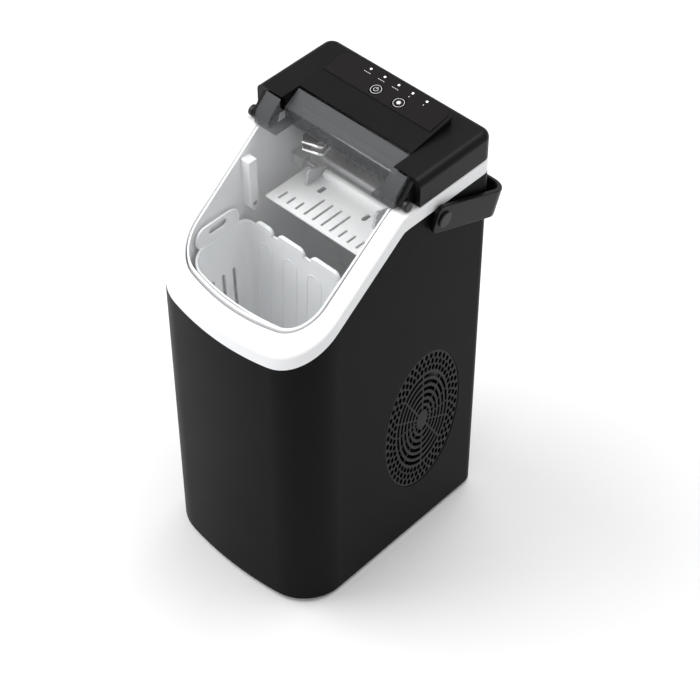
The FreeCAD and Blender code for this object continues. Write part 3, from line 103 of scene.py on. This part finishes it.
def new_material(name):
    """Empty node material with a Principled shader, and the tree's nodes and links."""
    mat = bpy.data.materials.new(name)
    mat.use_nodes = True
    tree = mat.node_tree
    shader = tree.nodes["Principled BSDF"]
    return mat, tree, shader


def noise(tree, stretch=(1.0, 1.0, 1.0), **settings):
    """Noise texture read in object coordinates, so its scale is per metre."""
    place = tree.nodes.new("ShaderNodeTexCoord")
    mapping = tree.nodes.new("ShaderNodeMapping")
    mapping.inputs["Scale"].default_value = stretch
    node = tree.nodes.new("ShaderNodeTexNoise")
    for key, value in settings.items():
        node.inputs[key].default_value = value
    tree.links.new(place.outputs["Object"], mapping.inputs["Vector"])
    tree.links.new(mapping.outputs["Vector"], node.inputs["Vector"])
    return node


def ramp(tree, source, low, high):
    """Colour ramp between two colours, driven by a texture's value."""
    node = tree.nodes.new("ShaderNodeValToRGB")
    for element, position, colour in zip(node.color_ramp.elements, (0.3, 0.7), (low, high)):
        element.position = position
        element.color = (*colour, 1.0)
    tree.links.new(source, node.inputs["Fac"])
    return node.outputs["Color"]


def spread(tree, source, low, high):
    """Rescale a 0 to 1 texture value to a range."""
    node = tree.nodes.new("ShaderNodeMapRange")
    node.inputs["To Min"].default_value = low
    node.inputs["To Max"].default_value = high
    tree.links.new(source, node.inputs["Value"])
    return node.outputs["Result"]


def bump(tree, shader, source, depth, strength):
    """Surface relief of a given depth in metres."""
    node = tree.nodes.new("ShaderNodeBump")
    node.inputs["Strength"].default_value = strength
    node.inputs["Distance"].default_value = depth
    tree.links.new(source, node.inputs["Height"])
    tree.links.new(node.outputs["Normal"], shader.inputs["Normal"])


def moulded(name, colour, roughness, vary=0.12, grain=900.0, depth=0.00004, patch=14.0, **sockets):
    """Moulded plastic, rubber or paint: broad tone drift, fine grain, and roughness that wanders a little."""
    mat, tree, shader = new_material(name)
    drift = noise(tree, Scale=patch, Detail=3.0)
    darker = tuple(c * (1 - vary) for c in colour)
    lighter = tuple(min(1.0, c * (1 + vary)) for c in colour)
    tree.links.new(ramp(tree, drift.outputs["Fac"], darker, lighter), shader.inputs["Base Color"])
    wander = spread(tree, drift.outputs["Fac"], roughness * 0.88, roughness * 1.12)
    tree.links.new(wander, shader.inputs["Roughness"])
    fine = noise(tree, Scale=grain, Detail=2.0)
    bump(tree, shader, fine.outputs["Fac"], depth, 0.5)
    for key, value in sockets.items():
        shader.inputs[key.replace("_", " ")].default_value = value
    return mat


def metal(name, colour, roughness, stretch=(1.0, 1.0, 1.0), streak=600.0):
    """Metal with drawn streaks or a plated, slightly uneven polish."""
    mat, tree, shader = new_material(name)
    shader.inputs["Metallic"].default_value = 1.0
    lines = noise(tree, stretch=stretch, Scale=streak, Detail=4.0)
    darker = tuple(c * 0.86 for c in colour)
    tree.links.new(ramp(tree, lines.outputs["Fac"], darker, colour), shader.inputs["Base Color"])
    wander = spread(tree, lines.outputs["Fac"], roughness * 0.8, roughness * 1.25)
    tree.links.new(wander, shader.inputs["Roughness"])
    bump(tree, shader, lines.outputs["Fac"], 0.00001, 0.4)
    return mat


def see_through(name, colour, alpha, roughness, shine, stretch, scale):
    """Clear or smoked plastic: a film whose thickness drifts between two alphas in flow streaks."""
    mat, tree, shader = new_material(name)
    flow = noise(tree, stretch=stretch, Scale=scale, Detail=3.0)
    brighter = tuple(min(1.0, c * 1.35) for c in colour)
    tree.links.new(ramp(tree, flow.outputs["Fac"], colour, brighter), shader.inputs["Base Color"])
    tree.links.new(spread(tree, flow.outputs["Fac"], *alpha), shader.inputs["Alpha"])
    shader.inputs["Roughness"].default_value = roughness
    shader.inputs["Specular IOR Level"].default_value = shine
    return mat


MATERIALS = {
    "casing": moulded("satin_black_casing", (0.0023, 0.0024, 0.0026), 0.44, grain=1500.0, depth=0.00003,
                      Specular_IOR_Level=0.055),
    "cover": moulded("grained_black_cover", (0.0048, 0.0048, 0.0052), 0.33, grain=2200.0, depth=0.00004,
                     Specular_IOR_Level=0.13),
    "rim": moulded("white_rim", (0.80, 0.805, 0.815), 0.26, vary=0.015, grain=500.0, depth=0.00001,
                   Subsurface_Weight=0.05, Subsurface_Scale=0.003),
    "liner": moulded("white_liner", (0.72, 0.728, 0.74), 0.30, vary=0.02, grain=500.0, depth=0.00001,
                     Subsurface_Weight=0.05, Subsurface_Scale=0.003),
    "clear": see_through("clear_lid", (0.90, 0.91, 0.92), (0.02, 0.05), 0.05, 0.35, (1.0, 0.25, 1.0), 18.0),
    "smoked": see_through("smoked_hinge_end", (0.085, 0.087, 0.090), (0.55, 0.64), 0.45, 0.12, (0.2, 1.0, 1.0),
                          16.0),
    "overlay": moulded("glossy_overlay", (0.0066, 0.0050, 0.0050), 0.12, grain=300.0, depth=0.000002,
                       Specular_IOR_Level=0.25),
    "black_part": moulded("black_plastic_part", (0.0070, 0.0070, 0.0075), 0.32, grain=1800.0,
                          Specular_IOR_Level=0.30),
    "basket": moulded("white_basket", (0.80, 0.81, 0.82), 0.24, vary=0.02, grain=500.0, depth=0.00001,
                      Subsurface_Weight=0.10, Subsurface_Scale=0.004),
    "pusher": moulded("white_shovel", (0.82, 0.825, 0.83), 0.28, vary=0.02, grain=600.0, depth=0.00001),
    "grey_part": moulded("light_grey_part", (0.40, 0.405, 0.415), 0.36, vary=0.05, grain=1200.0, depth=0.00002),
    "shield": moulded("mid_grey_shield", (0.115, 0.116, 0.12), 0.34, vary=0.08, grain=900.0, depth=0.00002),
    "plate": metal("bright_plating", (0.86, 0.86, 0.87), 0.10, streak=120.0),
    "steel": metal("drawn_steel", (0.56, 0.57, 0.59), 0.26, stretch=(0.1, 1.0, 1.0)),
    "zinc": metal("zinc_sheet", (0.50, 0.51, 0.52), 0.42, streak=90.0),
    "can": moulded("black_enamel", (0.012, 0.012, 0.013), 0.30, grain=700.0, Coat_Weight=0.3),
    "copper": metal("drawn_copper", (0.82, 0.44, 0.29), 0.24, stretch=(1.0, 1.0, 0.1)),
    "aluminium": metal("rolled_aluminium", (0.72, 0.73, 0.75), 0.34, stretch=(1.0, 0.1, 1.0)),
    "foam": moulded("rigid_foam", (0.72, 0.62, 0.36), 0.85, vary=0.08, grain=700.0, depth=0.0003),
    "board": moulded("green_board", (0.012, 0.085, 0.035), 0.38, vary=0.10, grain=700.0),
    "rubber": moulded("black_rubber", (0.010, 0.010, 0.0105), 0.72, grain=2500.0, depth=0.00006,
                      Specular_IOR_Level=0.25),
    "hose": moulded("pale_silicone", (0.62, 0.65, 0.65), 0.40, vary=0.04, grain=900.0, Subsurface_Weight=0.2,
                    Subsurface_Scale=0.003),
    "lamp": moulded("milky_lamp", (0.92, 0.93, 0.95), 0.25, vary=0.02, grain=900.0, Emission_Strength=0.35,
                    Emission_Color=(1.0, 1.0, 1.0, 1.0)),
    "fan_part": moulded("dark_grey_fan", (0.012, 0.012, 0.013), 0.40, grain=1500.0, Specular_IOR_Level=0.30),
}
PRINT = moulded("white_print", (0.74, 0.74, 0.74), 0.45, vary=0.04, grain=2500.0, depth=0.00001)


# ---------------------------------------------------------------- mesh helpers

def piece(name, mesh, material, body, replaced=()):
    """Object from a mesh, with its material, on a body of the frame."""
    thing = bpy.data.objects.new(name, mesh)
    SCENE.collection.objects.link(thing)
    mesh.materials.append(material)
    for face in mesh.polygons:
        face.use_smooth = True
    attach(thing, body)
    if replaced:
        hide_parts(*replaced)
    return thing


def bevelled(thing, width, segments=3):
    """Round the sharp edges and keep flat faces flat."""
    edge = thing.modifiers.new("round_edges", "BEVEL")
    edge.width = width
    edge.segments = segments
    edge.limit_method = "ANGLE"
    edge.angle_limit = math.radians(35.0)
    edge.harden_normals = False
    normals = thing.modifiers.new("even_normals", "WEIGHTED_NORMAL")
    normals.keep_sharp = True


def plan(half, front, rear, bow, corner, back, steps=12):
    """Plan outline as points with outward normals: straight sides and back, bowed front, round corners."""
    middle = bow - front
    reach = middle - math.sqrt((bow - corner) ** 2 - (half - corner) ** 2)
    lean = math.asin((half - corner) / (bow - corner))
    down = -math.pi / 2
    points = []

    def arc(x, y, radius, start, end, count=steps):
        for i in range(count + 1):
            a = start + (end - start) * i / count
            out = Vector((math.cos(a), math.sin(a)))
            points.append((Vector((x, y)) + out * radius, out))

    def line(x0, y0, x1, y1, out, count=steps):
        for i in range(1, count):
            t = i / count
            points.append((Vector((x0 + (x1 - x0) * t, y0 + (y1 - y0) * t)), Vector(out)))

    arc(-half + back, rear - back, back, math.pi / 2, math.pi)
    line(-half, rear - back, -half, reach, (-1.0, 0.0), 3 * steps)
    arc(-half + corner, reach, corner, math.pi, 1.5 * math.pi - lean)
    arc(0.0, middle, bow, down - lean, down + lean, 2 * steps)
    arc(half - corner, reach, corner, down + lean, 0.0)
    line(half, reach, half, rear - back, (1.0, 0.0), 3 * steps)
    arc(half - back, rear - back, back, 0.0, math.pi / 2)
    line(half - back, rear, -half + back, rear, (0.0, 1.0), 2 * steps)
    return points


def deck_height(y, soft=3 * MM):
    """Height of the rim's top at a depth, with a soft bend where the slope starts."""
    run = KINK - y
    if run <= -soft:
        return DECK
    if run >= soft:
        return DECK - FALL * run
    return DECK - FALL * (run + soft) ** 2 / (4 * soft)


def lofted(name, rows):
    """Mesh through rows of points, each a closed loop of the same length; the last row joins the first."""
    count = len(rows[0])
    verts = [p for row in rows for p in row]
    faces = []
    for r in range(len(rows)):
        nxt = (r + 1) % len(rows)
        for i in range(count):
            j = (i + 1) % count
            faces.append((r * count + i, r * count + j, nxt * count + j, nxt * count + i))
    mesh = bpy.data.meshes.new(name)
    mesh.from_pydata(verts, [], faces)
    clean = bmesh.new()
    clean.from_mesh(mesh)
    bmesh.ops.remove_doubles(clean, verts=clean.verts, dist=1e-6)
    bmesh.ops.recalc_face_normals(clean, faces=clean.faces)
    clean.to_mesh(mesh)
    clean.free()
    return mesh


# ---------------------------------------------------------------- rim

def rim_moulding():
    """White sloping rim: outer band, rounded outer edge, deck, rounded mouth edge and lip."""
    outer = plan(*CASING_PLAN)
    mouth = plan(*MOUTH_PLAN)
    soft_out, soft_in = 3.2 * MM, 2.6 * MM
    skin, deck_skin, lip = 2.5 * MM, 3 * MM, 9 * MM
    quarter = [math.pi / 2 * i / 5 for i in range(6)]

    def row(contour, inward, drop):
        points = []
        for at, out in contour:
            spot = at - out * inward
            points.append((spot.x, spot.y, deck_height(spot.y) - drop))
        return points

    def between(t):
        points = []
        for (a, out_a), (b, out_b) in zip(outer, mouth):
            spot = (a - out_a * soft_out).lerp(b + out_b * soft_in, t)
            points.append((spot.x, spot.y, deck_height(spot.y)))
        return points

    rows = [row(outer, 0.0, BAND), row(outer, 0.0, BAND * 0.6)]
    for a in quarter:
        rows.append(row(outer, soft_out * (1 - math.cos(a)), soft_out * (1 - math.sin(a))))
    rows += [between(t) for t in (0.04, 0.35, 0.65, 0.96)]
    for a in quarter:
        rows.append(row(mouth, -soft_in * (1 - math.sin(a)), soft_in * (1 - math.cos(a))))
    rows += [row(mouth, 0.0, lip), row(mouth, -skin, lip), row(mouth, -skin, deck_skin)]
    rows += [row(outer, skin, deck_skin), row(outer, skin, BAND)]
    mesh = lofted("rim_moulding", rows)
    bevelled(piece("rim_moulding", mesh, MATERIALS["rim"], "machine", ["rim_frame"]), 0.3 * MM, 2)


rim_moulding()

# ---------------------------------------------------------------- basket, bin and print details

def prism(name, outline, low, high, to_world):
    """Solid between two heights over a closed outline in a local plane, placed by a function."""
    count = len(outline)
    verts = [to_world(x, y, z) for z in (low, high) for x, y in outline]
    faces = [tuple(range(count))[::-1], tuple(range(count, 2 * count))]
    faces += [(i, (i + 1) % count, count + (i + 1) % count, count + i) for i in range(count)]
    mesh = bpy.data.meshes.new(name)
    mesh.from_pydata(verts, [], faces)
    return mesh


def stadium(x, y, half, radius, steps=10, upright=False):
    """Outline with round ends about a point; its straight part is twice half long."""
    points = []
    for sign, start in ((1, -math.pi / 2), (-1, math.pi / 2)):
        for i in range(steps + 1):
            a = start + math.pi * i / steps
            along, side = sign * half + radius * math.cos(a), radius * math.sin(a)
            points.append((x - side, y + along) if upright else (x + along, y + side))
    return points


def joined(name, meshes):
    """One mesh from several."""
    whole = bmesh.new()
    for mesh in meshes:
        whole.from_mesh(mesh)
        bpy.data.meshes.remove(mesh)
    bmesh.ops.recalc_face_normals(whole, faces=whole.faces)
    result = bpy.data.meshes.new(name)
    whole.to_mesh(result)
    whole.free()
    return result


def bead(name, points, radius, closed=False):
    """Round moulding on the basket along a line of points."""
    curve = bpy.data.curves.new(name, "CURVE")
    curve.dimensions = "3D"
    curve.bevel_depth = radius
    curve.bevel_resolution = 4
    line = curve.splines.new("POLY")
    line.points.add(len(points) - 1)
    for spot, at in zip(line.points, points):
        spot.co = (*at, 1.0)
    line.use_cyclic_u = closed
    line.use_smooth = True
    curve.use_fill_caps = True
    curve.materials.append(MATERIALS["basket"])
    thing = bpy.data.objects.new(name, curve)
    SCENE.collection.objects.link(thing)
    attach(thing, "basket")


def arch(middle, width, low, crown, steps=8):
    """Line up one side of a flute, over its round crown and down the other side."""
    spots = [(middle - width, low)]
    for i in range(steps + 1):
        a = math.pi - math.pi * i / steps
        spots.append((middle + width * math.cos(a), crown + width * math.sin(a)))
    return spots + [(middle + width, low)]


def basket_details():
    """Rolled top edge, rounded rear tabs, moulded flutes on the rear wall and the finger tab's outline."""
    bead("basket_rolled_edge", [(at.x, at.y, BASKET_TOP) for at, _ in plan(*BASKET_EDGE_PLAN)], 1.3 * MM, True)

    def rear_wall(height):
        """Depth of the rear wall's inner face, which leans forward towards the floor."""
        return REAR_WALL - REAR_LEAN * (BASKET_TOP - height) / (BASKET_TOP - BASKET_LOW.z)

    def on_rear(x, z, out):
        return (x, REAR_WALL - out, z)

    loops = []
    for middle, half_length in REAR_TABS:
        shape = stadium(middle * MM, BASKET_TOP + 4.0 * MM, half_length * MM, 4.6 * MM)
        loops.append(prism("loop", shape, -1.3 * MM, 1.6 * MM, on_rear))
    mesh = joined("basket_loops", loops)
    bevelled(piece("basket_loops", mesh, MATERIALS["basket"], "basket"), 1.1 * MM)
    low, crown = BASKET_LOW.z + 14 * MM, BASKET_TOP - 24 * MM
    for n, middle in enumerate(FLUTES):
        line = arch(middle * MM, 9 * MM, low, crown)
        bead(f"basket_arch_{n}", [(x, rear_wall(z) + 0.2 * MM, z) for x, z in line], 0.8 * MM)
    for name, length, radius, rise, thick in (("basket_tab_edge", 15, 12.4, 10, 1.25),
                                              ("basket_tab_hole_edge", 7, 5.2, 14, 0.9)):
        loop = stadium(GRIP_TAB, BASKET_TOP + rise * MM, length * MM, radius * MM)
        bead(name, [(1.1 * MM - BASKET_HIGH.x, y, z) for y, z in loop], thick * MM, True)


def bin_boss():
    """Moulded boss on the bin's left wall, pointed below, with a screw in it."""
    def upright(y, z, out):
        return (BOSS_WALL + out, y, z)

    foot, head = DECK - 84 * MM, DECK - 22 * MM
    front, tip, back = -15 * MM, -10 * MM, -4 * MM
    shape = [(front, head), (front, foot + 7 * MM), (tip, foot), (back, foot + 5 * MM), (back, head)]
    block = joined("bin_boss", [prism("bin_boss", shape, 0.0, BOSS_OUT, upright)])
    bevelled(piece("bin_boss", block, MATERIALS["liner"], "machine"), 1.6 * MM, 4)
    disc = stadium(BOSS_SCREW, foot + 10 * MM, 0.4 * MM, 2.2 * MM)
    low, high = BOSS_OUT + 0.02 * MM, BOSS_OUT + 0.3 * MM
    cap = joined("bin_boss_screw", [prism("bin_boss_screw", disc, low, high, upright)])
    bevelled(piece("bin_boss_screw", cap, MATERIALS["steel"], "machine"), 0.1 * MM, 2)


basket_details()
bin_boss()


def on_wedge(x, along, out):
    """Point on the control wedge: across it, up along it and out of it."""
    lean, rise = math.sin(WEDGE_TILT), math.cos(WEDGE_TILT)
    return (x, WEDGE_FRONT + along * rise - out * lean, WEDGE_LOW + along * lean + out * rise)


def arc_band(x, y, inner, outer, start, end, steps=40):
    """Outline of a flat ring sector."""
    angles = [start + (end - start) * i / steps for i in range(steps + 1)]
    far = [(x + outer * math.cos(a), y + outer * math.sin(a)) for a in angles]
    near = [(x + inner * math.cos(a), y + inner * math.sin(a)) for a in reversed(angles)]
    return far + near


def print_on(name, shapes, out, body):
    """Thin white print on the wedge or on a button."""
    films = [prism("film", shape, out, out + FILM, on_wedge) for shape in shapes]
    piece(name, joined(name, films), PRINT, body)


def power_symbol(x, y):
    """Open ring with an upright stroke."""
    ring = arc_band(x, y, 2.0 * MM, 2.45 * MM, math.radians(120), math.radians(420))
    return [ring, stadium(x, y + 2.0 * MM, 1.1 * MM, 0.3 * MM, upright=True)]


def hexagon(x, y):
    """Plain filled hexagon."""
    angles = [math.pi / 6 + math.pi / 3 * i for i in range(6)]
    return [[(x + 2.4 * MM * math.cos(a), y + 2.4 * MM * math.sin(a)) for a in angles]]


def panel_print():
    """Rings and plain symbols on the two buttons, and generic ticks beside the lamps."""
    keys = (("power_print", "power_key", power_symbol), ("select_print", "select_key", hexagon))
    for (name, body, symbol), x in zip(keys, BUTTON_X):
        halves = []
        for start in (0.0, math.pi):
            halves.append(arc_band(x, BUTTON_ALONG, 5.1 * MM, 5.55 * MM, start, start + math.pi))
        print_on(name, halves + symbol(x, BUTTON_ALONG), BUTTON_TOP, body)
    row = LED_ALONG - 5.2 * MM
    ticks = []
    for x in LED_X[:3]:
        for i in range(4):
            ticks.append(stadium(x - 3.2 * MM + 2.1 * MM * i, row, 0.45 * MM, 0.34 * MM, 6))
    for x in LED_X[3:]:
        ticks.append(stadium(x, row, 0.5 * MM, 0.36 * MM, 6, upright=True))
    print_on("lamp_ticks", ticks, OVERLAY_TOP, "machine")


panel_print()

# ---------------------------------------------------------------- CAD nodes that stay

SLOT_OF = {s["node"]: s["material_slot"] for s in frame["record"]["subparts"]}
EDGE_WIDTH = {
    "top_cover": 0.9, "carry_handle": 1.2, "ice_pusher": 0.5, "lid_frame": 0.5, "lid_window": 0.6,
    "control_overlay": 0.25, "hinge_pin_left": 0.5, "hinge_pin_right": 0.5, "handle_pivot_left": 0.5,
    "handle_pivot_right": 0.5, "evaporator_shield": 0.4, "side_vent_grille": 0.3, "left_intake_grille": 0.4,
    "rear_panel": 0.5,
}
PLAIN_EDGE = 0.35
FLAT_SIDED = {"carry_handle", "control_overlay", "top_cover", "lid_frame"}


def finish_node(name, thing):
    """Give a CAD node its procedural material, rounded edges and smooth curved faces."""
    thing.data.materials.clear()
    thing.data.materials.append(MATERIALS[SLOT_OF[name]])
    for face in thing.data.polygons:
        face.use_smooth = True
        face.material_index = 0
    weld = thing.modifiers.new("weld", "WELD")
    weld.merge_threshold = 0.004 * MM
    if name in FLAT_SIDED:
        flat = thing.modifiers.new("flat_faces", "DECIMATE")
        flat.decimate_type = "DISSOLVE"
        flat.angle_limit = math.radians(0.6)
    bevelled(thing, EDGE_WIDTH.get(name, PLAIN_EDGE) * MM, 2)


for node_name, node_object in NODES.items():
    finish_node(node_name, node_object)


# ---------------------------------------------------------------- stage, light and camera

def floor():
    """Plain pale floor that runs out of sight."""
    mesh = bpy.data.meshes.new("floor")
    size = 30.0
    corners = [(-size, -size, 0), (size, -size, 0), (size, size, 0), (-size, size, 0)]
    mesh.from_pydata(corners, [], [(0, 1, 2, 3)])
    thing = bpy.data.objects.new("floor", mesh)
    SCENE.collection.objects.link(thing)
    pale = moulded("pale_floor", (0.87, 0.87, 0.875), 0.55, vary=0.004, grain=200.0, depth=0.000002)
    mesh.materials.append(pale)


MIDDLE = Vector((0.0, 0.0, 0.25))
SOFTBOXES = (
    ("key", (-1.5, -0.9, 2.5), (1.8, 1.8), 52.0),
    ("front_fill", (-0.9, -2.6, 1.2), (1.8, 1.2), 13.0),
    ("top", (0.3, 0.9, 2.8), (2.2, 1.6), 40.0),
)


def softbox(name, place, size, power):
    """Rectangular area light aimed at the machine's middle."""
    light = bpy.data.lights.new(name, "AREA")
    light.shape = "RECTANGLE"
    light.size, light.size_y = size
    light.energy = power
    thing = bpy.data.objects.new(name, light)
    thing.location = place
    thing.rotation_euler = (MIDDLE - Vector(place)).to_track_quat("-Z", "Y").to_euler()
    SCENE.collection.objects.link(thing)


def studio():
    """Bright, even room with a key from the upper left and two large fills."""
    world = bpy.data.worlds.new("studio")
    SCENE.world = world
    world.use_nodes = True
    background = world.node_tree.nodes["Background"]
    background.inputs["Color"].default_value = (1.0, 1.0, 1.0, 1.0)
    background.inputs["Strength"].default_value = 0.60
    for name, place, size, power in SOFTBOXES:
        softbox(name, place, size, power)


def camera():
    """Long lens from the front right, looking down, at the height and turn that frame the machine."""
    turn, rise, distance = math.radians(43.46), math.radians(46.05), 2.045
    target = Vector((0.0138, 0.0328, 0.2072))
    back = Vector((math.sin(turn) * math.cos(rise), -math.cos(turn) * math.cos(rise), math.sin(rise)))
    lens = bpy.data.cameras.new("camera")
    lens.lens = 105.6
    lens.sensor_width = 36.0
    lens.clip_end = 100.0
    thing = bpy.data.objects.new("camera", lens)
    thing.location = target + back * distance
    thing.rotation_mode = "QUATERNION"
    thing.rotation_quaternion = (-back).to_track_quat("-Z", "Y")
    SCENE.collection.objects.link(thing)
    SCENE.camera = thing


floor()
studio()
camera()
SCENE.view_settings.view_transform = "Standard"
